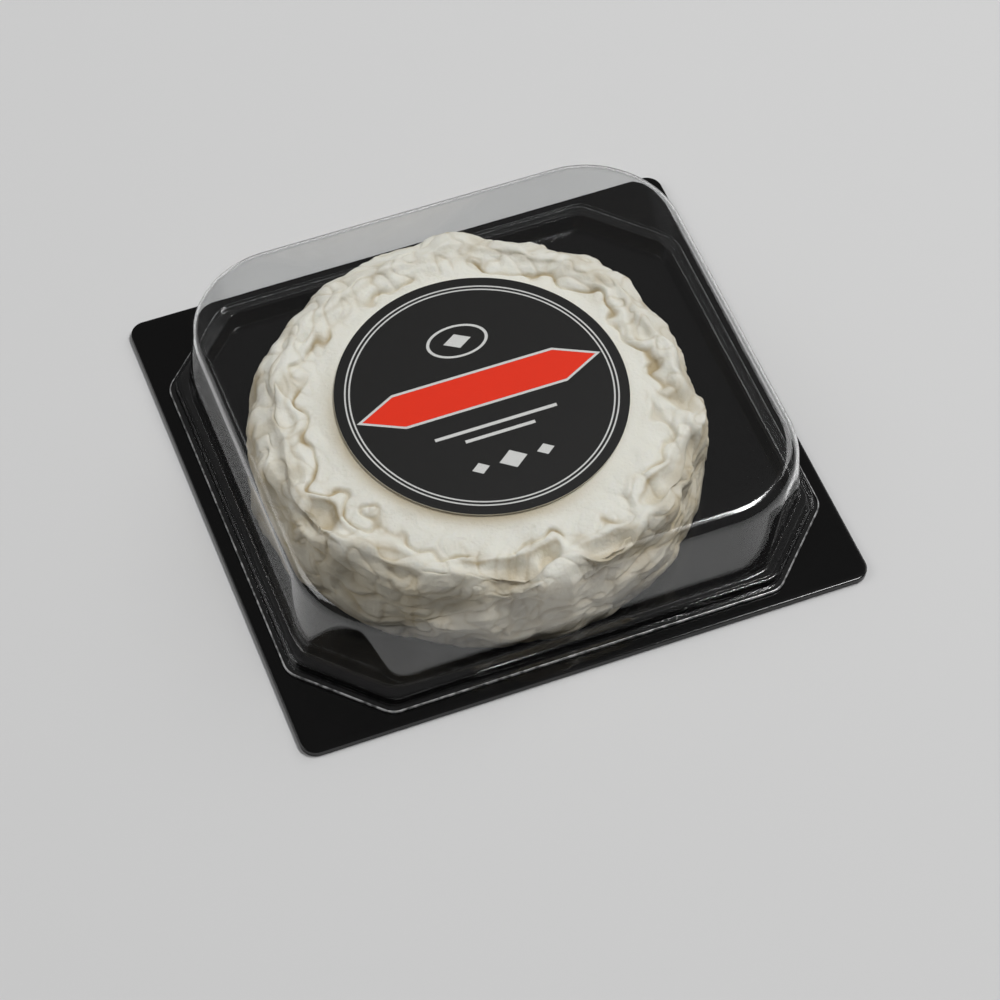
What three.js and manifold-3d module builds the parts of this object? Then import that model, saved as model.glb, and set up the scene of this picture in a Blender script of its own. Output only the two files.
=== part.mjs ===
// A small soft-ripened cheese in a shut clear pack: a shallow black tray, a
// wrinkled round cheese on its floor, a round paper label on the cheese and a
// clear moulded lid pressed on over the tray's ridge.
// Millimetres, +Z up. The origin is on the table under the middle of the tray,
// +X runs along the front edge and +Y away from it.
import * as THREE from 'three';
import { mergeVertices } from 'three/addons/utils/BufferGeometryUtils.js';
import Module from 'manifold-3d';

const wasm = await Module();
wasm.setup();

// Pack, as seen from above. An inset is measured in from its straight edges.
const PACK_WIDTH = 130;
const PACK_DEPTH = 121.5;
const GAP = 0.3;

// Tray: one black formed sheet, flat flange round a hollow ridge
const TRAY_SHEET = 0.6;
const FLANGE_TOP = 1.6;
const FLANGE_CORNER = 3.6;
const FLANGE_EDGE = 0.3;
const RIDGE_INSET = 5.35;
const RIDGE_TOP = 4.4;
const RIDGE_WIDTH = 1.65;
const RIDGE_SLOPE = 0.3;
const RIDGE_BEND = 0.5;
const HOLLOW_BEND = 0.1;
const FLOOR_SLOPE = 0.7;

// Lid: one clear formed sheet, its lip flat on the flange
const LID_SHEET = 0.5;
const LID_TOP = 26.3;
const LIP_INSET = 3;
const LIP_WIDTH = 1.2;
const LIP_EDGE = 0.15;
const RISER_BEND = 0.4;
const LEDGE_WIDTH = 2.4;
const WALL_DRAFT = 1.6;
const TOP_BEND = 2.1;
const TOP_BEND_STEPS = 4;
const WALL_CORNER = 22;
const SCOOP_CUT = 16.5;
const SCOOP_HEIGHT = 12;
const PINCH_SPACING = 48;
const PINCH_OFFSET = -1.6;
const PINCH_RADIUS = 0.7;

// Corners of the ridge and of the lid's foot, cut off at 45 degrees
const CORNER_CUT = 17.5;
const CORNER_BEND = 5;

// Cheese: radii and heights of its section
const CHEESE_X = -4.2;
const CHEESE_Y = -2.2;
const CHEESE_RADIUS = 50.3;
const CHEESE_REACH = 50.9;
const CHEESE_TOP = 23.5;
const CHEESE_FOOT = 49.4;
const FOOT_EDGE = 0.7;
const CREST_RADIUS = 44.9;
const CREST_RISE = 1.2;
const CREST_WIDTH = 2.6;
const CREST_SHIFT = 2.2;

// How uneven the rind is: swings of its outlines, folds of the side, dimples
// of the top. The crest lies CREST_SHIFT nearer the pack's front.
const FOOT_SWING = 2.4;
const CREST_SWING = 2.8;
const SIDE_SAG = 1.6;
const FOLD_DEPTH = 3;
const FOLD_LENGTH = 10;
const FOLD_HEIGHT = 7;
const DIMPLE_DEPTH = 1.6;
const DIMPLE_LENGTH = 9;

const CHEESE_SPOKES = 122;
const SIDE_RINGS = 14;
const TOP_RINGS = 5;

// Label: a stiff paper disc
const LABEL_X = -2.9;
const LABEL_Y = -1.1;
const LABEL_RADIUS = 32;
const LABEL_SHEET = 0.4;
const LABEL_SIDES = 72;

const FLOOR_TOP = TRAY_SHEET;
const LEDGE_TOP = RIDGE_TOP + GAP + LID_SHEET;
const WALL_FOOT = LIP_INSET + LIP_WIDTH + LEDGE_WIDTH;
const EIGHTH = Math.PI / 4;
const ARC_STEPS = 4;
// A cut of this many times the bend's radius turns a cut corner into a plain
// quarter circle; it is also what a 45 degree cut loses per unit of inset.
const ROUND_CUT = 2 - Math.SQRT2;
const LATTICE_SEED = [127.1, 311.7, 74.7, 43758.5453];

// Outline of a rectangle, inset from the pack's edges, whose corners are cut off
// at 45 degrees. The two bends of each cut are rounded.
function outline(inset, z, cut, bend, steps = ARC_STEPS) {
  const halfX = PACK_WIDTH / 2 - inset;
  const halfY = PACK_DEPTH / 2 - inset;
  const tangent = bend * Math.tan(EIGHTH / 2);
  const points = [];
  for (let arc = 0; arc < 8; arc += 1) {
    const signX = arc < 2 || arc > 5 ? 1 : -1;
    const signY = arc < 4 ? 1 : -1;
    const nearSide = arc % 4 === 0 || arc % 4 === 3;
    const centreX = nearSide ? halfX - bend : halfX - cut - tangent;
    const centreY = nearSide ? halfY - cut - tangent : halfY - bend;
    for (let step = 0; step <= steps; step += 1) {
      const angle = EIGHTH * (arc + step / steps);
      const x = signX * centreX + bend * Math.cos(angle);
      const y = signY * centreY + bend * Math.sin(angle);
      points.push([x, y, z]);
    }
  }
  return points;
}

function roundedOutline(inset, z, radius) {
  return outline(inset, z, ROUND_CUT * radius, radius);
}

// Outline that runs parallel to the lip all the way round
function footOutline(inset, z) {
  return outline(inset, z, CORNER_CUT - ROUND_CUT * (inset - LIP_INSET), CORNER_BEND);
}

function middle(points) {
  const sum = points.reduce((a, p) => [a[0] + p[0], a[1] + p[1], a[2] + p[2]], [0, 0, 0]);
  return sum.map((value) => value / points.length);
}

// Closed skin through rings of equal length, the first and the last ring shut by
// a fan. The rings run from the middle of the underside round to the top.
function skin(rings) {
  const count = rings[0].length;
  const vertices = rings.flat().concat([middle(rings[0]), middle(rings.at(-1))]);
  const bottomHub = vertices.length - 2;
  const topHub = vertices.length - 1;
  const lastRing = (rings.length - 1) * count;
  const faces = [];
  for (let i = 0; i < count; i += 1) {
    const next = (i + 1) % count;
    faces.push(bottomHub, next, i);
    faces.push(topHub, lastRing + i, lastRing + next);
    for (let ring = 0; ring < rings.length - 1; ring += 1) {
      const low = ring * count;
      const high = low + count;
      faces.push(low + i, low + next, high + next);
      faces.push(low + i, high + next, high + i);
    }
  }
  const geometry = new THREE.BufferGeometry();
  geometry.setAttribute('position', new THREE.Float32BufferAttribute(vertices.flat(), 3));
  geometry.setIndex(faces);
  return geometry;
}

function toSolid(geometry) {
  const bare = geometry.clone();
  bare.deleteAttribute('normal');
  bare.deleteAttribute('uv');
  const merged = mergeVertices(bare);
  const vertProperties = merged.attributes.position.array;
  const triVerts = Uint32Array.from(merged.index.array);
  return new wasm.Manifold(new wasm.Mesh({ numProp: 3, vertProperties, triVerts }));
}

function toGeometry(solid) {
  const mesh = solid.getMesh();
  const geometry = new THREE.BufferGeometry();
  const position = new THREE.BufferAttribute(Float32Array.from(mesh.vertProperties), 3);
  geometry.setAttribute('position', position);
  geometry.setIndex(new THREE.BufferAttribute(Uint32Array.from(mesh.triVerts), 1));
  return geometry;
}

// Repeatable random value from 0 to 1 for each point of a whole-number lattice
function lattice(i, j, k) {
  const [stepX, stepY, stepZ, scatter] = LATTICE_SEED;
  const mixed = Math.sin(i * stepX + j * stepY + k * stepZ) * scatter;
  return mixed - Math.floor(mixed);
}

function blend(a, b, t) {
  return a + (b - a) * t * t * (3 - 2 * t);
}

// Smooth unevenness between the lattice's values
function unevenness(x, y, z) {
  const i = Math.floor(x);
  const j = Math.floor(y);
  const k = Math.floor(z);
  const layer = (level) => {
    const near = blend(lattice(i, j, level), lattice(i + 1, j, level), x - i);
    const far = blend(lattice(i, j + 1, level), lattice(i + 1, j + 1, level), x - i);
    return blend(near, far, y - j);
  };
  return blend(layer(k), layer(k + 1), z - k);
}

// Unevenness along a circle, from -0.5 to 0.5; density sets how many waves it has
function around(angle, density, seed, height = 0) {
  const x = density * (Math.cos(angle) + 2) + seed;
  const y = density * (Math.sin(angle) + 2) + seed;
  return unevenness(x, y, height + seed) - 0.5;
}

// Rounded rolls of rind with narrow creases between them, from about -0.5 to 0.5
function rolls(x, y, z) {
  const coarse = Math.hypot(2 * unevenness(x, y, z) - 1, 0.15);
  const fine = unevenness(1.7 * x + 5, 1.7 * y + 5, 1.7 * z + 5);
  return Math.min(0.5, 1.1 * coarse + 0.5 * fine - 0.6);
}

// Tray: floor, hollow ridge, flat flange and its turned-down edge
function tray() {
  const sheet = TRAY_SHEET;
  const square = (inset, z) => roundedOutline(inset, z, FLANGE_CORNER - inset);
  const outer = RIDGE_INSET;
  const outerTop = outer + RIDGE_SLOPE;
  const innerTop = outer + RIDGE_WIDTH;
  const innerFoot = innerTop + RIDGE_BEND + FLOOR_SLOPE;
  const hollowTop = RIDGE_TOP - sheet;
  const hollowInner = innerTop - sheet / 2;
  const underside = [
    footOutline(innerFoot, 0),
    footOutline(innerFoot - sheet, RIDGE_BEND),
    footOutline(hollowInner, hollowTop - RIDGE_BEND),
    footOutline(hollowInner - HOLLOW_BEND, hollowTop),
    footOutline(outerTop + sheet + HOLLOW_BEND, hollowTop),
    footOutline(outerTop + sheet, hollowTop - RIDGE_BEND),
    footOutline(outer + sheet, FLANGE_TOP - sheet + RIDGE_BEND),
    footOutline(outer + sheet - RIDGE_BEND, FLANGE_TOP - sheet),
    square(sheet, FLANGE_TOP - sheet),
    square(sheet, 0),
  ];
  const topSide = [
    square(0, 0),
    square(0, FLANGE_TOP - FLANGE_EDGE),
    square(FLANGE_EDGE, FLANGE_TOP),
    footOutline(outer - RIDGE_BEND, FLANGE_TOP),
    footOutline(outer, FLANGE_TOP + RIDGE_BEND),
    footOutline(outerTop, RIDGE_TOP - RIDGE_BEND),
    footOutline(outerTop + RIDGE_BEND, RIDGE_TOP),
    footOutline(innerTop, RIDGE_TOP),
    footOutline(innerTop + RIDGE_BEND, RIDGE_TOP - RIDGE_BEND),
    footOutline(innerFoot, FLOOR_TOP + RIDGE_BEND),
    footOutline(innerFoot + RIDGE_BEND, FLOOR_TOP),
  ];
  return skin([...underside, ...topSide]);
}

// Foot of the lid: flat lip, riser and the ledge over the tray's ridge. With no
// inset it is the outside, with the sheet's thickness it is the space inside.
function lidFoot(inward) {
  const lipBottom = FLANGE_TOP + GAP;
  const lipTop = lipBottom + LID_SHEET;
  const riser = LIP_INSET + LIP_WIDTH + inward;
  const ledge = LEDGE_TOP - inward;
  const rise = [
    footOutline(riser, lipTop + LIP_EDGE),
    footOutline(riser + RIDGE_SLOPE, ledge - RISER_BEND),
    footOutline(riser + RIDGE_SLOPE + RISER_BEND, ledge),
  ];
  if (inward > 0) {
    return skin([footOutline(riser, lipBottom - 1), ...rise]);
  }
  const lip = [
    footOutline(LIP_INSET + LIP_EDGE, lipBottom),
    footOutline(LIP_INSET, lipBottom + LIP_EDGE),
    footOutline(LIP_INSET, lipTop - LIP_EDGE),
    footOutline(LIP_INSET + LIP_EDGE, lipTop),
    footOutline(riser - LIP_EDGE, lipTop),
  ];
  return skin([...lip, ...rise]);
}

// Body of the lid: upright walls that bend over into a flat top
function lidBody(inward) {
  const bend = TOP_BEND - inward;
  const corner = WALL_CORNER - inward;
  const bendFoot = LID_TOP - inward - bend;
  const hidden = LEDGE_TOP - LID_SHEET - inward;
  const rings = [roundedOutline(WALL_FOOT + inward, hidden, corner)];
  for (let step = 0; step <= TOP_BEND_STEPS; step += 1) {
    const angle = (Math.PI / 2) * (step / TOP_BEND_STEPS);
    const inset = bend * (1 - Math.cos(angle));
    const z = bendFoot + bend * Math.sin(angle);
    rings.push(roundedOutline(WALL_FOOT + WALL_DRAFT + inward + inset, z, corner - inset));
  }
  return skin(rings);
}

// Block whose leaning corners scoop the body's lower corners: at the ledge they
// cut them off at 45 degrees, and SCOOP_HEIGHT further up they clear them.
function scoopBlock(inward) {
  const reach = (PACK_WIDTH + PACK_DEPTH) / 2;
  const foot = reach - 2 * WALL_FOOT - SCOOP_CUT;
  const head = reach - 2 * (WALL_FOOT + WALL_DRAFT) - ROUND_CUT * WALL_CORNER;
  const lean = (head - foot) / SCOOP_HEIGHT;
  const sheet = inward * Math.hypot(Math.SQRT2, lean);
  const cutAt = (z) => reach - (foot + lean * (z - LEDGE_TOP) - sheet);
  return skin([0, LID_TOP + 1].map((z) => outline(0, z, cutAt(z), 0, 1)));
}

// Short upright pinches in the front riser that lock the lid on the ridge
function pinches() {
  const low = FLANGE_TOP + GAP + LID_SHEET / 2;
  const high = LEDGE_TOP - LID_SHEET / 2;
  const y = -PACK_DEPTH / 2 + LIP_INSET + LIP_WIDTH + PINCH_RADIUS / 2;
  return [-1, 1].map((side) => {
    const rib = new THREE.CylinderGeometry(PINCH_RADIUS, PINCH_RADIUS, high - low, 10);
    rib.rotateX(Math.PI / 2);
    rib.translate(PINCH_OFFSET + (side * PINCH_SPACING) / 2, y, (low + high) / 2);
    return rib;
  });
}

function lid() {
  const body = (inward) => toSolid(lidBody(inward)).intersect(toSolid(scoopBlock(inward)));
  let outside = body(0).add(toSolid(lidFoot(0)));
  for (const rib of pinches()) {
    outside = outside.add(toSolid(rib));
  }
  const inside = body(LID_SHEET).add(toSolid(lidFoot(LID_SHEET)));
  return toGeometry(outside.subtract(inside));
}

// Section of the cheese at one angle, from its underside out and up the folded
// side, over the frilled crest and in to the middle of its top
function cheeseSection(angle) {
  const cos = Math.cos(angle);
  const sin = Math.sin(angle);
  const points = [];
  const place = (radius, z) => points.push([radius * cos, radius * sin, z]);

  const floor = FLOOR_TOP + GAP;
  const foot = CHEESE_FOOT + FOOT_SWING * around(angle, 6, 3);
  place(CHEESE_FOOT / 3, floor);
  place(foot - 5, floor);
  place(foot - 1, floor);
  place(foot, floor + FOOT_EDGE / 2);
  place(foot + FOOT_EDGE, floor + 2 * FOOT_EDGE);

  const swing = CREST_SWING * (around(angle, 8, 11) + around(angle, 4, 17));
  const crest = CREST_RADIUS + swing - CREST_SHIFT * sin;
  const sideFoot = floor + 2 * FOOT_EDGE;
  for (let ring = 1; ring <= SIDE_RINGS; ring += 1) {
    const t = ring / (SIDE_RINGS + 1);
    const z = blend(sideFoot, CHEESE_TOP, (t + Math.sqrt(t)) / 2);
    const belly = Math.sin(Math.PI * t) ** 0.7;
    const plain = blend(foot + FOOT_EDGE, crest + CREST_WIDTH / 2, t ** 2);
    const radius = plain + (CHEESE_RADIUS - CHEESE_FOOT) * belly;
    const x = (radius * cos) / FOLD_LENGTH;
    const y = (radius * sin) / FOLD_LENGTH;
    const fold = rolls(x, y, z / FOLD_HEIGHT);
    const sag = SIDE_SAG * around(angle, 6, 23, 3 * t) * Math.sin(Math.PI * t);
    const reach = CHEESE_REACH - WALL_DRAFT * t;
    place(Math.min(reach, radius + FOLD_DEPTH * fold), z + sag);
  }

  const rise = CREST_RISE * (1 + 0.9 * around(angle, 7, 29));
  place(crest + CREST_WIDTH * 0.45, CHEESE_TOP + rise * 0.4);
  place(crest + CREST_WIDTH * 0.15, CHEESE_TOP + rise * 0.9);
  place(crest - CREST_WIDTH * 0.25, CHEESE_TOP + rise);
  place(crest - CREST_WIDTH * 0.65, CHEESE_TOP + rise * 0.4);

  const topEdge = crest - CREST_WIDTH;
  for (let ring = 0; ring < TOP_RINGS; ring += 1) {
    const inwards = ring / TOP_RINGS;
    const radius = topEdge + (LABEL_RADIUS - topEdge) * inwards;
    const x = (radius * cos) / DIMPLE_LENGTH + 30;
    const y = (radius * sin) / DIMPLE_LENGTH + 30;
    const dimple = DIMPLE_DEPTH * (unevenness(x, y, 7.5) - 0.7);
    place(radius, CHEESE_TOP + dimple * Math.min(1, 2 - 2 * inwards));
  }
  place(LABEL_RADIUS - 2, CHEESE_TOP);
  place(LABEL_RADIUS / 2, CHEESE_TOP);
  return points;
}

function cheese() {
  const sections = [];
  for (let spoke = 0; spoke < CHEESE_SPOKES; spoke += 1) {
    sections.push(cheeseSection((2 * Math.PI * spoke) / CHEESE_SPOKES));
  }
  const rings = sections[0].map((_, ring) => sections.map((section) => section[ring]));
  return skin(rings);
}

function label() {
  const disc = new THREE.CylinderGeometry(LABEL_RADIUS, LABEL_RADIUS, LABEL_SHEET, LABEL_SIDES);
  disc.rotateX(Math.PI / 2);
  return disc;
}

function finish(color, roughness, extra = {}) {
  return new THREE.MeshStandardMaterial({ color, roughness, metalness: 0, ...extra });
}

function piece(name, geometry, material, place = [0, 0, 0]) {
  const mesh = new THREE.Mesh(geometry, material);
  mesh.name = name;
  mesh.position.set(...place);
  return mesh;
}

const labelHeight = CHEESE_TOP + GAP + LABEL_SHEET / 2;
const clear = { transparent: true, opacity: 0.25 };

const pack = new THREE.Group();
pack.add(piece('tray', tray(), finish(0x121214, 0.35)));
pack.add(piece('cheese', cheese(), finish(0xece6d6, 0.7), [CHEESE_X, CHEESE_Y, 0]));
pack.add(piece('label', label(), finish(0x242222, 0.5), [LABEL_X, LABEL_Y, labelHeight]));
pack.add(piece('lid', lid(), finish(0xf4f6f7, 0.05, clear)));

export default pack;
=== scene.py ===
import math

import bmesh
import bpy
from mathutils import Matrix, Vector, noise


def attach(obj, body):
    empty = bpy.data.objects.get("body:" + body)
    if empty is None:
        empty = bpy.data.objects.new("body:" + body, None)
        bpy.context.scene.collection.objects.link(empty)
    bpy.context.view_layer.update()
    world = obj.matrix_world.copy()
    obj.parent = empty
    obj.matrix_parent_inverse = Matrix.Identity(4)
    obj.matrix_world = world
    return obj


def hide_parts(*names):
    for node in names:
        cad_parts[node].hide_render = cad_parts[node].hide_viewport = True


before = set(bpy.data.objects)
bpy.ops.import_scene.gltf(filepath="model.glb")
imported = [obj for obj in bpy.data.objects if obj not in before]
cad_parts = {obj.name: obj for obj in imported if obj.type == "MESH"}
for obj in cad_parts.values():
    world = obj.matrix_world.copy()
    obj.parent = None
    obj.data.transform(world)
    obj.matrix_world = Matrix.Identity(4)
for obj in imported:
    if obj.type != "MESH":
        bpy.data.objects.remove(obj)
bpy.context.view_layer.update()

# Tray: a shallow square tray thermoformed from one black plastic sheet. A flat
# flange with a turned-down edge runs round a hollow ridge, and the ridge's
# corners are cut off. The sheet's underside is as hollow as its top is raised.
MM = 0.001
PACK_HALF_X = 65
PACK_HALF_Y = 60.75
CORNER_POINTS = 44
PINCH_PLACES = (-25.6, 22.4)
PINCH_STEPS = (-0.8, -0.55, -0.3, 0, 0.3, 0.55, 0.8)
FLANGE_CORNER = 3.6
FOOT_CUT = 17.5
FOOT_BEND = 5
LIP_INSET = 3
CUT_LOSS = 2 - math.sqrt(2)
BEND_STEPS = 5


def front_places(y):
    """Points along the front side, close together where the lid is pinched."""
    return [(place + step, y) for place in PINCH_PLACES for step in PINCH_STEPS]


def square_ring(inset, z, radius):
    """Rounded rectangle seen from above, measured in from the tray's edges."""
    points = []
    for corner in range(4):
        x = (1 if corner in (0, 3) else -1) * (PACK_HALF_X - inset - radius)
        y = (1 if corner < 2 else -1) * (PACK_HALF_Y - inset - radius)
        for step in range(CORNER_POINTS):
            angle = math.pi / 2 * (corner + step / (CORNER_POINTS - 1))
            points.append((x + radius * math.cos(angle), y + radius * math.sin(angle)))
        if corner == 2:
            points += front_places(inset - PACK_HALF_Y)
    return [(x, y, z) for x, y in points]


def foot_ring(inset, z):
    """Rectangle with cut-off corners, parallel to the lid's lip all the way round."""
    cut = FOOT_CUT - CUT_LOSS * (inset - LIP_INSET)
    tangent = FOOT_BEND * math.tan(math.pi / 8)
    half = CORNER_POINTS // 2
    points = []
    for arc in range(8):
        near_x = FOOT_BEND if arc % 4 in (0, 3) else cut + tangent
        near_y = cut + tangent if arc % 4 in (0, 3) else FOOT_BEND
        x = (1 if arc < 2 or arc > 5 else -1) * (PACK_HALF_X - inset - near_x)
        y = (1 if arc < 4 else -1) * (PACK_HALF_Y - inset - near_y)
        for step in range(half):
            angle = math.pi / 4 * (arc + step / (half - 1))
            points.append((x + FOOT_BEND * math.cos(angle), y + FOOT_BEND * math.sin(angle)))
        if arc == 5:
            points += front_places(inset - PACK_HALF_Y)
    return [(x, y, z) for x, y in points]


def bent(corners, steps=BEND_STEPS):
    """A sheet's section in mm: corners (inset, height, bend radius) with round bends."""
    line = [Vector(corners[0][:2])]
    for before, corner, after in zip(corners, corners[1:], corners[2:]):
        here = Vector(corner[:2])
        back = (Vector(before[:2]) - here).normalized()
        onward = (Vector(after[:2]) - here).normalized()
        half_angle = back.angle(onward) / 2
        centre = here + (back + onward).normalized() * (corner[2] / math.sin(half_angle))
        start = (here + back * (corner[2] / math.tan(half_angle)) - centre).normalized()
        end = (here + onward * (corner[2] / math.tan(half_angle)) - centre).normalized()
        arms = [start.slerp(end, step / steps) for step in range(steps + 1)]
        line += [centre + arm * corner[2] for arm in arms]
    return line + [Vector(corners[-1][:2])]


def drawn_skin(rings, cut_rings=()):
    """A closed skin drawn from ring to ring; the cut rings take the second material."""
    skin = bmesh.new()
    place = skin.verts.layers.int.new("place")
    bmesh.ops.create_circle(skin, segments=len(rings[0]), radius=1)
    skin.verts.ensure_lookup_table()
    for index, vertex in enumerate(skin.verts):
        vertex[place] = index
        vertex.co = Vector(rings[0][index]) * MM
    edges = skin.edges[:]
    bmesh.ops.contextual_create(skin, geom=edges)
    for number, ring in enumerate(rings[1:], 1):
        drawn = bmesh.ops.extrude_edge_only(skin, edges=edges)["geom"]
        edges = [part for part in drawn if isinstance(part, bmesh.types.BMEdge)]
        for part in drawn:
            if isinstance(part, bmesh.types.BMVert):
                part.co = Vector(ring[part[place]]) * MM
            elif isinstance(part, bmesh.types.BMFace):
                part.material_index = int(number in cut_rings)
    bmesh.ops.contextual_create(skin, geom=edges)
    bmesh.ops.recalc_face_normals(skin, faces=skin.faces)
    return skin


def finished(skin, name, materials, smooth_angle=40):
    """The piece itself: smooth but for its sharp edges, in its materials."""
    mesh = bpy.data.meshes.new(name)
    skin.to_mesh(mesh)
    skin.free()
    for material in materials:
        mesh.materials.append(material)
    piece = bpy.data.objects.new(name, mesh)
    bpy.context.scene.collection.objects.link(piece)
    mesh.shade_smooth()
    if smooth_angle:
        mesh.set_sharp_from_angle(angle=math.radians(smooth_angle))
    return piece


def new_material(name, color, roughness, **sockets):
    """A material and its Principled shader; the sockets are named with underscores."""
    material = bpy.data.materials.new(name)
    material.use_nodes = True
    shader = material.node_tree.nodes["Principled BSDF"]
    shader.inputs["Base Color"].default_value = (*color, 1)
    shader.inputs["Roughness"].default_value = roughness
    for socket, value in sockets.items():
        shader.inputs[socket.replace("_", " ")].default_value = value
    return material, shader


def node(material, kind, **values):
    """A shader node: capitalised names set its sockets, the others its settings."""
    made = material.node_tree.nodes.new(kind)
    for name, value in values.items():
        if name[0].isupper():
            made.inputs[name.replace("_", " ")].default_value = value
        else:
            setattr(made, name, value)
    return made


def link(material, start, end):
    material.node_tree.links.new(start, end)


tray_plastic, tray_shader = new_material(
    "black tray sheet", (0.003, 0.0029, 0.0029), 0.12, IOR=1.5
)
tray_place = node(tray_plastic, "ShaderNodeTexCoord")
tray_grain = node(tray_plastic, "ShaderNodeTexNoise", Scale=900.0, Detail=3.0)
tray_waves = node(tray_plastic, "ShaderNodeTexNoise", Scale=45.0, Detail=1.0)
tray_sheen = node(tray_plastic, "ShaderNodeMapRange", To_Min=0.08, To_Max=0.15)
tray_bump = node(tray_plastic, "ShaderNodeBump", Strength=0.05, Distance=0.0002)
link(tray_plastic, tray_place.outputs["Object"], tray_grain.inputs["Vector"])
link(tray_plastic, tray_place.outputs["Object"], tray_waves.inputs["Vector"])
link(tray_plastic, tray_waves.outputs["Fac"], tray_sheen.inputs["Value"])
link(tray_plastic, tray_sheen.outputs["Result"], tray_shader.inputs["Roughness"])
link(tray_plastic, tray_grain.outputs["Fac"], tray_bump.inputs["Height"])
link(tray_plastic, tray_bump.outputs["Normal"], tray_shader.inputs["Normal"])

tray_under = bent(
    [(14, 0), (7.86, 0, 0.95), (6.9, 3.8, 0.08), (6.24, 3.8, 0.08), (5.78, 1, 0.9), (4, 1)]
)
tray_edge = bent(
    [(1.6, 1), (0.6, 1, 0.1), (0.6, 0, 0.12), (0, 0, 0.12), (0, 1.6, 0.3), (1.6, 1.6)]
)
tray_top = bent([
    (4, 1.6),
    (5.27, 1.6, 0.15),
    (5.73, 4.4, 0.2),
    (7.37, 4.4, 0.2),
    (8.32, 0.6, 0.2),
    (14, 0.6),
])
tray_rings = [foot_ring(inset, z) for inset, z in tray_under]
tray_rings += [square_ring(inset, z, FLANGE_CORNER - inset) for inset, z in tray_edge]
tray_rings += [foot_ring(inset, z) for inset, z in tray_top]
tray = finished(drawn_skin(tray_rings), "black_tray", [tray_plastic])
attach(tray, "root")
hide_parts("tray")

# Cheese: one whole soft-ripened cheese that stands on the tray's floor. Its
# white rind is a thin skin of mould that has wrinkled, with a crest round the
# flat top, a ragged edge where the skin has sagged, and tan creases and stains.
# Shade on its sides and in its creases, and the label's shadow, are painted into
# the rind's colour.
CHEESE_MIDDLE = Vector((-4.2, -2.2))
LABEL_MIDDLE = Vector((-2.9, -1.1))
LABEL_RADIUS = 32
CREST_BINS = 122
CREST_USUAL = 45
QUAD_ANGLE = math.radians(60)
FINER_LEVELS = 3
KEPT_SHARE = 0.4
NOISE_SEED = 4
BITE_LENGTH = 10
NOOK_LENGTH = 4.6
PLEAT_LENGTH = 4.4
SWELL_LENGTH = 7.5
STAIN_LENGTH = 5.5
PATCH_LENGTH = 7
SAG_REACH = 3.8
SAG_STEP = 2.1
SAG_SLOPE = 1.5
SAG_LEAST = 0.25
SAG_DOWNWARD = 1.2
NOOK_REACH = 2.2
FOLD_WIDTH = 8.5
FOLD_HEIGHT = 4.6
FOLD_SLANT = 0.05
GROOVE_WIDTH = 0.1
SWELL_DEPTH = 0.85
SIDE_CREASE = 0.6
SIDE_GRIT = 0.45
TOP_GRIT = 0.3
LIP_HEIGHT = 0.55
TUCK_DEPTH = 0.8
SIDE_BULGE = 0.25
TOP_BULGE = 0.3


def eased(value, low, high):
    share = min(1, max(0, (value - low) / (high - low)))
    return share * share * (3 - 2 * share)


def ripple(place, offset):
    """A soft wave between about -1 and 1, each kind read at an offset of its own."""
    return noise.noise(place + Vector(offset))


def groove(wave):
    """1 where the wave crosses zero, which draws a thin winding line."""
    return math.exp(-abs(wave) / GROOVE_WIDTH)


def band(distance, width):
    """1 at no distance, fading on both sides."""
    return math.exp(-((distance / width) ** 2))


def crest_by_angle(vertices):
    """Radius of the crest's highest point in each direction from the middle."""
    highest = [(0, CREST_USUAL)] * CREST_BINS
    for co in vertices:
        spot = Vector(co[:2]) / MM - CHEESE_MIDDLE
        index = round(math.atan2(spot.y, spot.x) / math.tau * CREST_BINS) % CREST_BINS
        highest[index] = max(highest[index], (co.z / MM, spot.length))
    return [radius for _, radius in highest]


def crest_radius(crest, angle):
    spot = angle / math.tau * len(crest)
    low = math.floor(spot)
    share = spot - low
    return crest[low % len(crest)] * (1 - share) + crest[(low + 1) % len(crest)] * share


rind_cut = bmesh.new()
rind_cut.from_mesh(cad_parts["cheese"].data)
bmesh.ops.remove_doubles(rind_cut, verts=rind_cut.verts, dist=1e-6)
crest = crest_by_angle([vertex.co for vertex in rind_cut.verts])
bmesh.ops.join_triangles(
    rind_cut,
    faces=rind_cut.faces,
    angle_face_threshold=QUAD_ANGLE,
    angle_shape_threshold=QUAD_ANGLE,
)
rind_mesh = bpy.data.meshes.new("rind_form")
rind_cut.to_mesh(rind_mesh)
rind_cut.free()
rind_form = bpy.data.objects.new("rind_form", rind_mesh)
bpy.context.scene.collection.objects.link(rind_form)
finer = rind_form.modifiers.new("finer", "SUBSURF")
finer.levels = finer.render_levels = FINER_LEVELS
rind_fine = bpy.data.meshes.new_from_object(
    rind_form.evaluated_get(bpy.context.evaluated_depsgraph_get())
)
bpy.data.objects.remove(rind_form)

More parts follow.
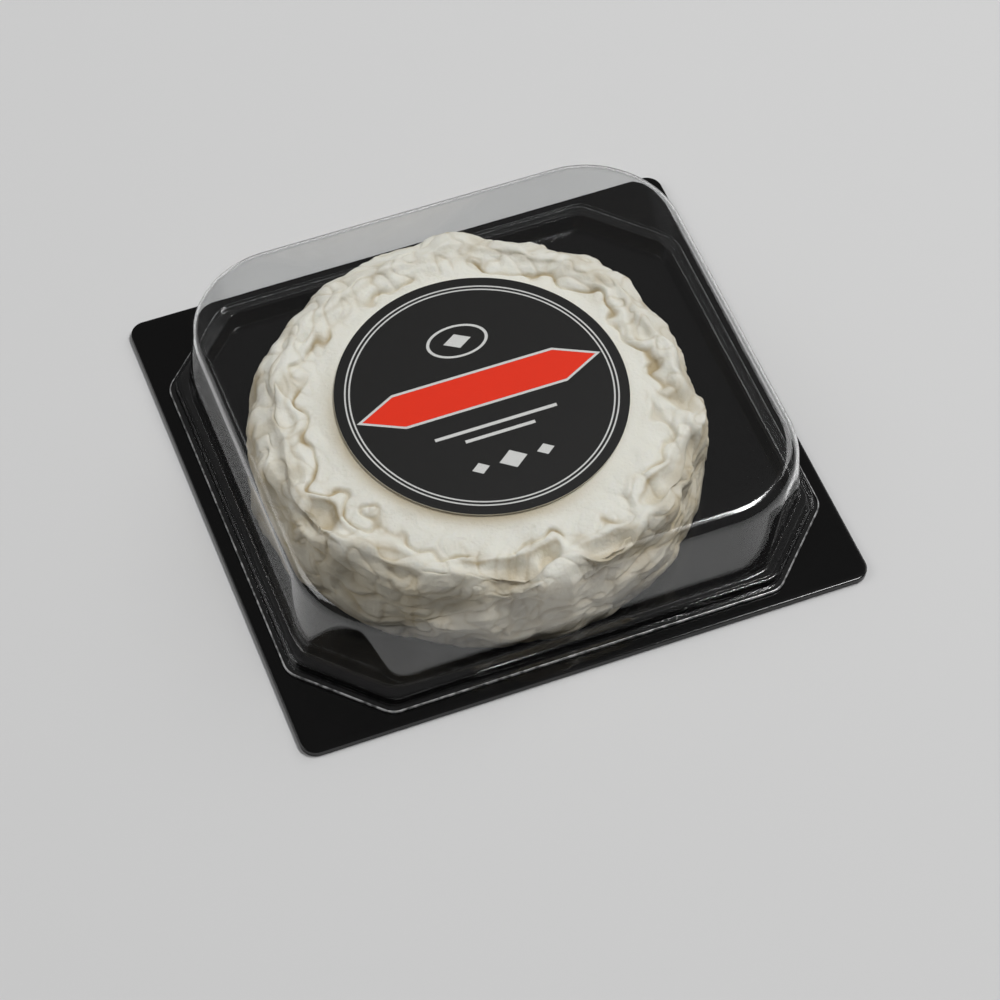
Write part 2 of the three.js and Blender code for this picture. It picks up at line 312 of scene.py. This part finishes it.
noise.seed_set(NOISE_SEED)
rind = bmesh.new()
rind.from_mesh(rind_fine)
rind.normal_update()
tan_and_painted_shade_layer = rind.verts.layers.float.new("tan")
painted_shade_layer = rind.verts.layers.float.new("painted_shade")
for vertex in rind.verts:
    at = vertex.co / MM
    flat_at = Vector((at.x, at.y, 0))
    spot = Vector(at[:2]) - CHEESE_MIDDLE
    beyond = spot.length - crest_radius(crest, math.atan2(spot.y, spot.x))
    off_label = Vector(at[:2]) - LABEL_MIDDLE
    label_gap = off_label.length - LABEL_RADIUS
    on_top = eased(vertex.normal.z, 0.3, 0.85)
    open_top = eased(label_gap, 0.4, 4)

    # The ragged edge: the skin has sagged beyond it, most of all in front.
    nook = ripple(flat_at / NOOK_LENGTH, (8, 1, 5))
    sagged = SAG_LEAST + (1 - SAG_LEAST) * eased(-spot.y / spot.length, -0.5, 0.3)
    bite = sagged * eased(0.5 + 0.9 * ripple(flat_at / BITE_LENGTH, (2, 7, 3)), 0.2, 0.8)
    past_edge = beyond + 0.7 + SAG_REACH * bite - NOOK_REACH * nook
    step_down = SAG_STEP * eased(past_edge, -0.3, 2.2)
    slope_down = SAG_SLOPE * eased(past_edge, 1, 5.5)
    upper = on_top + (1 - on_top) * eased(at.z, 7, 18)
    drop = (step_down + slope_down) * bite * upper
    drop *= 1 - on_top * (1 - open_top)

    # Wrinkles of three sizes: slanted folds, pleats between them, and fine grit.
    warp = noise.noise_vector(at / 13) * 6
    warp += noise.noise_vector(at / 5 + Vector((9, 3, 1))) * 1.6
    lean = Vector(
        (at.x / FOLD_WIDTH, at.y / FOLD_WIDTH, at.z / FOLD_HEIGHT - FOLD_SLANT * at.x)
    )
    fold = noise.noise(lean + warp / 8)
    crease = groove(fold)
    pleat = ripple((at + warp * 0.7) / PLEAT_LENGTH, (4, 8, 2))
    small_crease = groove(pleat)
    grit = ripple(lean * 2.9 + warp / 5, (1, 9, 6))
    swell = ripple(at / SWELL_LENGTH, (7, 1, 5))

    # The side is folded all over; the top only swells, and wrinkles near its edge.
    side_depth = SIDE_CREASE * crease - fold - SWELL_DEPTH * swell
    side_depth += 0.3 * small_crease - SIDE_GRIT * grit - 0.15
    rim = eased(past_edge, -7, -2)
    lip = band(past_edge + 1.3, 1.2) * on_top
    worn = eased(0.5 + ripple(at / 10, (3, 6, 1)), 0.25, 0.65)
    tuck = band(past_edge + 3.4 - 1.5 * nook, 0.55) * on_top * worn
    top_depth = TUCK_DEPTH * tuck - LIP_HEIGHT * lip - SWELL_DEPTH * swell + 0.1
    top_depth += (0.3 + 0.7 * rim) * (0.4 * small_crease - 0.3 * pleat - TOP_GRIT * grit)
    depth = (1 - on_top) * side_depth + on_top * open_top * top_depth
    foot = eased(at.z, 0.95, 2.2)
    inward = (vertex.normal + Vector((0, 0, SAG_DOWNWARD))).normalized() * drop
    inward += vertex.normal * max(-SIDE_BULGE - TOP_BULGE * on_top - drop, depth)
    vertex.co -= inward * foot * MM

    # Tan in creases and stains, and in the groove inside the crest, partly as painted
    # shade there; tan also paints the label's shadow at its lower left. Painted shade
    # darkens the turned side and the creases.
    patches = eased(0.5 + ripple(at / PATCH_LENGTH, (2, 2, 2)), 0.2, 0.75)
    seam = band(past_edge - 0.1, 0.5) * on_top * bite
    stain = eased(ripple(flat_at / STAIN_LENGTH, (5, 4, 9)), 0.05, 0.5) * rim * open_top
    # Painted shadow of the label: tan laid on the rind just outside its lower left edge.
    lower_left = eased(-off_label.x - off_label.y, 0, 40)
    painted_label_shadow = band(label_gap, 2.3) * on_top * lower_left
    # The groove inside the crest takes tan partly as the rind's own colour and partly as
    # painted shade.
    tan = open_top * (tuck + 0.9 * seam + 0.4 * rim * small_crease) * (0.4 + 0.6 * patches)
    tan += (1 - on_top) * 0.2 * crease + 0.32 * stain + 0.8 * painted_label_shadow
    vertex[tan_and_painted_shade_layer] = min(1, tan)
    # Painted shade: the rind's colour goes darker where it faces sideways, past the sagged
    # edge and in creases.
    turned_to_shade = max(1 - on_top, eased(past_edge, 0.3, 3) * bite)
    painted_shade = turned_to_shade * (0.7 + 0.25 * crease + 0.15 * small_crease)
    painted_shade += 0.1 * open_top * (1 - turned_to_shade) * small_crease
    vertex[painted_shade_layer] = min(1, painted_shade)
bmesh.ops.smooth_vert(
    rind, verts=rind.verts, factor=0.4, use_axis_x=True, use_axis_y=True, use_axis_z=True
)

RIND_CREAM = (0.97, 0.955, 0.87, 1)
RIND_DULL_CREAM = (0.95, 0.93, 0.825, 1)
# Colour of the painted shade on the sides and in creases.
RIND_PAINTED_SHADE = (0.61, 0.54, 0.405, 1)
RIND_TAN_AND_PAINTED_SHADE = (0.53, 0.43, 0.262, 1)

rind_white, rind_shader = new_material(
    "white mould rind",
    (0.8, 0.76, 0.65),
    0.55,
    IOR=1.42,
    Subsurface_Weight=0.12,
    Subsurface_Scale=0.003,
    Subsurface_Radius=(1.0, 0.85, 0.62),
)
rind_place = node(rind_white, "ShaderNodeTexCoord")
rind_tan_and_painted_shade = node(rind_white, "ShaderNodeAttribute", attribute_name="tan")
rind_painted_shade = node(rind_white, "ShaderNodeAttribute", attribute_name="painted_shade")
rind_cloud = node(rind_white, "ShaderNodeTexNoise", Scale=110.0, Detail=3.0)
rind_cream = node(rind_white, "ShaderNodeMix", data_type="RGBA")
rind_cream.inputs["A"].default_value = RIND_CREAM
rind_cream.inputs["B"].default_value = RIND_DULL_CREAM
rind_shade = node(rind_white, "ShaderNodeMix", data_type="RGBA")
rind_shade.inputs["B"].default_value = RIND_PAINTED_SHADE
rind_brown = node(rind_white, "ShaderNodeMix", data_type="RGBA")
rind_brown.inputs["B"].default_value = RIND_TAN_AND_PAINTED_SHADE
rind_down = node(rind_white, "ShaderNodeTexNoise", Scale=1300.0, Detail=4.0)
rind_bump = node(rind_white, "ShaderNodeBump", Strength=0.5, Distance=0.0004)
link(rind_white, rind_place.outputs["Object"], rind_cloud.inputs["Vector"])
link(rind_white, rind_place.outputs["Object"], rind_down.inputs["Vector"])
link(rind_white, rind_cloud.outputs["Fac"], rind_cream.inputs["Factor"])
link(rind_white, rind_cream.outputs["Result"], rind_shade.inputs["A"])
link(rind_white, rind_painted_shade.outputs["Fac"], rind_shade.inputs["Factor"])
link(rind_white, rind_shade.outputs["Result"], rind_brown.inputs["A"])
link(rind_white, rind_tan_and_painted_shade.outputs["Fac"], rind_brown.inputs["Factor"])
link(rind_white, rind_brown.outputs["Result"], rind_shader.inputs["Base Color"])
link(rind_white, rind_down.outputs["Fac"], rind_bump.inputs["Height"])
link(rind_white, rind_bump.outputs["Normal"], rind_shader.inputs["Normal"])

cheese = finished(rind, "whole_cheese", [rind_white], smooth_angle=0)
lighter = cheese.modifiers.new("lighter", "DECIMATE")
lighter.ratio = KEPT_SHARE
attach(cheese, "root")
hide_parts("cheese")

# Label: a stiff round disc of white paper laid on the cheese, printed black to
# its edge. A double white ring runs round a pointed red band with a white
# border, an oval above it, and two thin bars and three lozenges below.
LABEL_FOOT = 23.8
LABEL_SHEET = 0.4
LABEL_SIDES = 144
INK_BLACK = (0.008, 0.0075, 0.007)
INK_RED = (1.0, 0.032, 0.003)
PAPER_WHITE = (0.8, 0.8, 0.78)
INK_BLUR = 0.06
RING_HALF_WIDTH = 0.17
BAND_Y = 1.5
OVAL_Y = 15.2
LOZENGES_Y = -18.6

label_paper, paper_shader = new_material("paper edge", (0.74, 0.7, 0.6), 0.7)
label_print, print_shader = new_material(
    "printed label", INK_BLACK, 0.35, Specular_IOR_Level=0.3
)


def print_math(operation, first, second=None, third=None):
    """One sum in the print's material; each part is a node's output or a number."""
    made = node(label_print, "ShaderNodeMath", operation=operation)
    for index, value in enumerate((first, second, third)):
        if isinstance(value, (int, float)):
            made.inputs[index].default_value = value
        elif value is not None:
            link(label_print, value, made.inputs[index])
    return made.outputs[0]


print_place = node(label_print, "ShaderNodeTexCoord")
print_axes = node(label_print, "ShaderNodeSeparateXYZ")
link(label_print, print_place.outputs["Object"], print_axes.inputs[0])
across = print_math("MULTIPLY_ADD", print_axes.outputs["X"], 1000, -LABEL_MIDDLE.x)
upward = print_math("MULTIPLY_ADD", print_axes.outputs["Y"], 1000, -LABEL_MIDDLE.y)


def inked(distance):
    """1 where the distance to a shape, in mm, is below zero."""
    share = print_math("MULTIPLY_ADD", distance, -0.5 / INK_BLUR, 0.5)
    share.node.use_clamp = True
    return share


def both(first, second):
    return print_math("MAXIMUM", first, second)


def either(first, second):
    return print_math("MINIMUM", first, second)


def outside(distance):
    return print_math("MULTIPLY", distance, -1)


def away(axis, middle):
    return print_math("ABSOLUTE", print_math("SUBTRACT", axis, middle))


def oval_distance(y, radius, squash=1):
    """Distance to an oval on the middle line, lower than it is wide by the squash."""
    rise = print_math("MULTIPLY", print_math("SUBTRACT", upward, y), squash)
    squares = print_math("ADD", print_math("POWER", across, 2), print_math("POWER", rise, 2))
    return print_math("SUBTRACT", print_math("SQRT", squares), radius)


def ring_distance(radius):
    off_ring = print_math("ABSOLUTE", oval_distance(0, radius))
    return print_math("SUBTRACT", off_ring, RING_HALF_WIDTH)


def bar_distance(y, half_x, half_y):
    return both(
        print_math("SUBTRACT", away(across, 0), half_x),
        print_math("SUBTRACT", away(upward, y), half_y),
    )


def lozenge_distance(x, y, half_x, half_y):
    steep = print_math("MULTIPLY", away(upward, y), half_x / half_y)
    reach = print_math("SUBTRACT", print_math("ADD", away(across, x), steep), half_x)
    return print_math("MULTIPLY", reach, half_y / half_x)


red_field = both(bar_distance(BAND_Y, 30, 4.2), lozenge_distance(0, BAND_Y, 27, 13.5))
red_edge = both(bar_distance(BAND_Y, 30, 4.8), lozenge_distance(0, BAND_Y, 28.2, 14.1))
white_border = both(red_edge, outside(red_field))
rings = either(ring_distance(29.6), ring_distance(28.7))
oval_line = both(oval_distance(OVAL_Y, 7, 1.6), outside(oval_distance(OVAL_Y, 6.3, 1.64)))
oval = either(oval_line, lozenge_distance(0, OVAL_Y, 3.2, 2))
bars = either(bar_distance(-8.4, 14, 0.4), bar_distance(-11, 8, 0.4))
small_lozenges = either(
    lozenge_distance(-7.4, LOZENGES_Y, 2, 1.5), lozenge_distance(7.4, LOZENGES_Y, 2, 1.5)
)
lozenges = either(lozenge_distance(0, LOZENGES_Y, 3.2, 2.4), small_lozenges)
white_shapes = either(either(rings, white_border), either(either(oval, bars), lozenges))
white_ink = inked(white_shapes)
red_ink = inked(red_field)

ink_red = node(label_print, "ShaderNodeMix", data_type="RGBA")
ink_red.inputs["A"].default_value = (*INK_BLACK, 1)
ink_red.inputs["B"].default_value = (*INK_RED, 1)
ink_white = node(label_print, "ShaderNodeMix", data_type="RGBA")
ink_white.inputs["B"].default_value = (*PAPER_WHITE, 1)
print_grain = node(label_print, "ShaderNodeTexNoise", Scale=1800.0, Detail=2.0)
print_sheen = node(label_print, "ShaderNodeMapRange", To_Min=0.3, To_Max=0.4)
link(label_print, red_ink, ink_red.inputs["Factor"])
link(label_print, ink_red.outputs["Result"], ink_white.inputs["A"])
link(label_print, white_ink, ink_white.inputs["Factor"])
link(label_print, ink_white.outputs["Result"], print_shader.inputs["Base Color"])
link(label_print, print_place.outputs["Object"], print_grain.inputs["Vector"])
link(label_print, print_grain.outputs["Fac"], print_sheen.inputs["Value"])
link(label_print, print_sheen.outputs["Result"], print_shader.inputs["Roughness"])

disc = bmesh.new()
bmesh.ops.create_cone(
    disc,
    cap_ends=True,
    segments=LABEL_SIDES,
    radius1=LABEL_RADIUS * MM,
    radius2=LABEL_RADIUS * MM,
    depth=LABEL_SHEET * MM,
    matrix=Matrix.Translation(Vector((*LABEL_MIDDLE, LABEL_FOOT + LABEL_SHEET / 2)) * MM),
)
for face in disc.faces:
    face.material_index = 1 if face.normal.z > 0.5 else 0
label = finished(disc, "paper_label", [label_paper, label_print])
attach(label, "root")
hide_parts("label")

# Lid: thermoformed from one clear plastic sheet. Its flat lip, grey at the cut
# edge, lies on the flange; the ledge rides over the ridge; the walls, scooped at
# the lower corners, bend over into a flat top. Two pinches in front lock it.
LID_SHEET = 0.5
LEDGE_TOP = 5.2
LID_TOP = 26.3
WALL_FOOT = 6.6
WALL_LEAN = 1.6 / 19
WALL_CORNER = 22
SCOOP_FOOT = 96.05
SCOOP_LEAN = 0.034
SCOOP_EDGE = 0.25
WALL_BEND = 24.2
WALL_STEPS = 20
FOOT_RUN = 1.1
TOP_RUN = 8
WALL_BENDS = 7
LIP_TOP = 2.5
LEDGE_END = 5
PINCH_HEIGHT = 0.62


def wall_ring(inset, z):
    """Rounded rectangle whose corners are scooped off by a plane that leans out."""
    wall = WALL_FOOT + WALL_LEAN * (min(z, WALL_BEND) - LEDGE_TOP)
    in_from_wall = inset - wall
    scoop = SCOOP_FOOT + SCOOP_LEAN * (z - LEDGE_TOP) - math.sqrt(2) * in_from_wall
    points = []
    for x, y, _ in square_ring(inset, z, WALL_CORNER - in_from_wall):
        over = (abs(x) + abs(y) - scoop) / math.sqrt(2)
        push = (over + math.hypot(over, SCOOP_EDGE)) / 2 / math.sqrt(2)
        points.append((x - math.copysign(push, x), y - math.copysign(push, y), z))
    return points


def pinched(ring):
    """The ring with both pinches pushed out of its front side."""
    first = 3 * CORNER_POINTS
    for index in range(2 * len(PINCH_STEPS)):
        x, y, z = ring[first + index]
        step = PINCH_STEPS[index % len(PINCH_STEPS)] / PINCH_STEPS[-1]
        ring[first + index] = (x, y - PINCH_HEIGHT * math.sqrt(1 - step * step), z)
    return ring


def wall_rings(foot_bend, top_bend, foot, top, in_from_wall):
    """The wall from its foot up and over into the top, with rings all the way up."""
    low = (WALL_FOOT + WALL_LEAN * (foot - LEDGE_TOP) + in_from_wall, foot, foot_bend)
    high = (WALL_FOOT + WALL_LEAN * (top - LEDGE_TOP) + in_from_wall, top, top_bend)
    corners = [(low[0] - FOOT_RUN, foot), low, high, (high[0] + TOP_RUN, top)]
    section = bent(corners, steps=WALL_BENDS)
    upright = len(section) // 2
    start, end = section[upright - 1], section[upright]
    between = [start.lerp(end, step / WALL_STEPS) for step in range(1, WALL_STEPS)]
    section[upright:upright] = between
    return [wall_ring(inset, z) for inset, z in section]


inner_walls = wall_rings(0.7, 2.7, LEDGE_TOP - LID_SHEET, LID_TOP - LID_SHEET, LID_SHEET)
outer_walls = wall_rings(0.2, 3.2, LEDGE_TOP, LID_TOP, 0)
lip_under = bent([(5.6, 4.7), (5.03, 4.7, 0.08), (4.7, 1.9, 0.3), (3.6, 1.9)])
lip_edge = bent([(3.6, 1.9), (3, 1.9, 0.06), (3, 2.4, 0.32), (3.6, 2.4)])
lip_top = bent([(3.6, 2.4), (4.2, 2.4, 0.08), (4.55, 5.2, 0.3), (5.5, 5.2)])
lid_rings = list(reversed(inner_walls))
lid_rings += [foot_ring(inset, z) for inset, z in lip_under]
first_cut = len(lid_rings) + BEND_STEPS + 1
lid_rings += [foot_ring(inset, z) for inset, z in lip_edge[1:]]
for inset, z in lip_top[1:]:
    ring = foot_ring(inset, z)
    lid_rings.append(pinched(ring) if z > LIP_TOP and inset < LEDGE_END else ring)
lid_rings += outer_walls

clear_sheet, clear_shader = new_material(
    "clear lid sheet",
    (0.91, 0.915, 0.915),
    0.02,
    IOR=1.1,
    Transmission_Weight=1.0,
    Coat_Weight=1.0,
    Coat_Roughness=0.1,
    Coat_IOR=1.5,
)
clear_output = clear_sheet.node_tree.nodes["Material Output"]
clear_pass = node(clear_sheet, "ShaderNodeBsdfTransparent", Color=(0.98, 0.98, 0.98, 1))
clear_path = node(clear_sheet, "ShaderNodeLightPath")
clear_mix = node(clear_sheet, "ShaderNodeMixShader")
clear_let = node(clear_sheet, "ShaderNodeMath", operation="MAXIMUM")
link(clear_sheet, clear_path.outputs["Is Shadow Ray"], clear_let.inputs[0])
link(clear_sheet, clear_path.outputs["Is Reflection Ray"], clear_let.inputs[1])
link(clear_sheet, clear_let.outputs[0], clear_mix.inputs[0])
link(clear_sheet, clear_shader.outputs[0], clear_mix.inputs[1])
link(clear_sheet, clear_pass.outputs[0], clear_mix.inputs[2])
link(clear_sheet, clear_mix.outputs[0], clear_output.inputs["Surface"])

cut_edge, cut_shader = new_material(
    "cut lid edge", (0.3, 0.3, 0.3), 0.18, Specular_IOR_Level=1.0
)
cut_place = node(cut_edge, "ShaderNodeTexCoord")
cut_grain = node(cut_edge, "ShaderNodeTexNoise", Scale=700.0, Detail=3.0)
cut_tone = node(
    cut_edge, "ShaderNodeMapRange", From_Min=0.4, From_Max=0.65, To_Min=0.07, To_Max=0.42
)
link(cut_edge, cut_place.outputs["Object"], cut_grain.inputs["Vector"])
link(cut_edge, cut_grain.outputs["Fac"], cut_tone.inputs["Value"])
link(cut_edge, cut_tone.outputs["Result"], cut_shader.inputs["Base Color"])

lid_skin = drawn_skin(lid_rings, range(first_cut, first_cut + BEND_STEPS + 1))
lid = finished(lid_skin, "clear_lid", [clear_sheet, cut_edge], smooth_angle=50)
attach(lid, "root")
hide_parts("lid")

# Studio: a pale matt table top under a long soft light high on the right and a
# broad one on each side. The camera looks down from the front, a little from the
# left, through a long lens.
TABLE_HALF = 3
TABLE_GREY = (0.7, 0.7, 0.7)
WORLD_GREY = (0.1, 0.1, 0.1, 1)
LENS_LENGTH = 124.06
FILM_WIDTH = 36

table_paint, _ = new_material("pale table", TABLE_GREY, 0.85, Specular_IOR_Level=0.2)
table_top = bmesh.new()
bmesh.ops.create_grid(table_top, x_segments=1, y_segments=1, size=TABLE_HALF)
table = finished(table_top, "table", [table_paint], smooth_angle=0)

world = bpy.data.worlds.new("studio")
bpy.context.scene.world = world
world.use_nodes = True
dim_air = world.node_tree.nodes["Background"]
dim_air.inputs["Color"].default_value = WORLD_GREY
dim_air.inputs["Strength"].default_value = 1


def soft_light(name, place, size, power):
    lamp = bpy.data.lights.new(name, "AREA")
    lamp.shape = "RECTANGLE"
    lamp.size, lamp.size_y = size
    lamp.energy = power
    holder = bpy.data.objects.new(name, lamp)
    holder.location = place
    holder.rotation_euler = Vector(place).to_track_quat("Z", "Y").to_euler()
    bpy.context.scene.collection.objects.link(holder)
    return holder


soft_light("top", (0.76, 0.05, 1.88), (0.8, 0.3), 24)
soft_light("left", (-1.9, 0.6, 1.6), (1.6, 1.4), 14.5)
soft_light("right", (1.9, 0.85, 1.5), (1.2, 1.4), 12.3)

camera = bpy.data.objects.new("camera", bpy.data.cameras.new("camera"))
camera.data.lens = LENS_LENGTH
camera.data.sensor_width = FILM_WIDTH
camera.matrix_world = Matrix(
    (
        (0.931645, 0.286791, -0.223132, -0.171880),
        (-0.362937, 0.764358, -0.532947, -0.416557),
        (0.017708, 0.577501, 0.816198, 0.618124),
        (0, 0, 0, 1),
    )
)
bpy.context.scene.collection.objects.link(camera)
bpy.context.scene.camera = camera
bpy.context.scene.view_settings.view_transform = "Standard"
